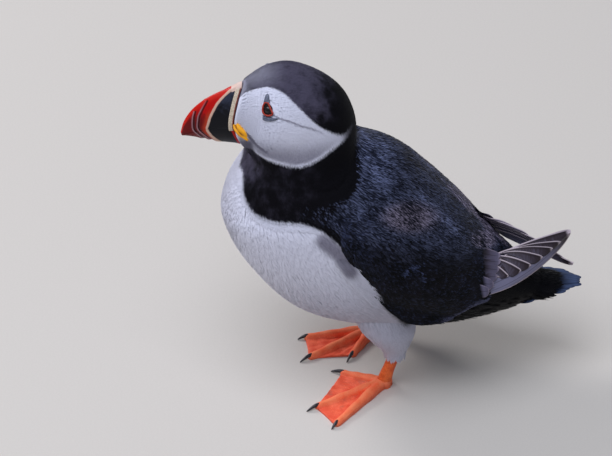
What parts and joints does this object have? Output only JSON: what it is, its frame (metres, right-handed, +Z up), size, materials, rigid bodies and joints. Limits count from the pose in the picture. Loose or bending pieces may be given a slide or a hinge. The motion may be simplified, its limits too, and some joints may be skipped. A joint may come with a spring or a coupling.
{
  "type": "atlantic puffin",
  "caption": "Life-size standing seabird model with a deep triangular bill, round head, full breast, folded wings crossed over a short tail and webbed feet.",
  "frame": {"origin": "on the floor under the middle of the bird's bounding box", "axes": "+Z up, the bird faces -Y, +X is its left side"},
  "size_m": [0.1072, 0.2058, 0.184],
  "materials": {
    "plumage": "dense soft contour feathers, blue-black above, white below and on the face",
    "wing_coverts": "smooth overlapping blue-black covert feathers",
    "flight_feathers": "stiff worn brown-black primaries with pale edges",
    "tail_feathers": "short stiff slate-black tail feathers",
    "leg_skin": "scaled orange skin, half matt",
    "foot_web": "wrinkled orange-red web skin, half matt",
    "claw_horn": "dark grey horn with a soft gloss",
    "bill_horn": "ridged horn, red at the tip and slate blue at the base, satin",
    "cere_skin": "pitted cream-coloured horny rim, matt",
    "rosette_skin": "wrinkled yellow-orange skin",
    "eye": "wet dark eye, glossy"
  },
  "bodies": {
    "root": {"head": "plumage", "neck": "plumage", "trunk": "plumage", "rump": "plumage", "thigh_left": "plumage", "thigh_right": "plumage", "wing_left": "wing_coverts", "wing_right": "wing_coverts", "primaries_left": "flight_feathers", "primaries_right": "flight_feathers", "tail": "tail_feathers", "tarsus_left": "leg_skin", "tarsus_right": "leg_skin", "foot_left": "foot_web", "foot_right": "foot_web", "claw_inner_left": "claw_horn", "claw_middle_left": "claw_horn", "claw_outer_left": "claw_horn", "claw_inner_right": "claw_horn", "claw_middle_right": "claw_horn", "claw_outer_right": "claw_horn", "bill_upper": "bill_horn", "bill_lower": "bill_horn", "cere": "cere_skin", "rosette_left": "rosette_skin", "rosette_right": "rosette_skin", "eye_left": "eye", "eye_right": "eye"}
  },
  "joints": []
}
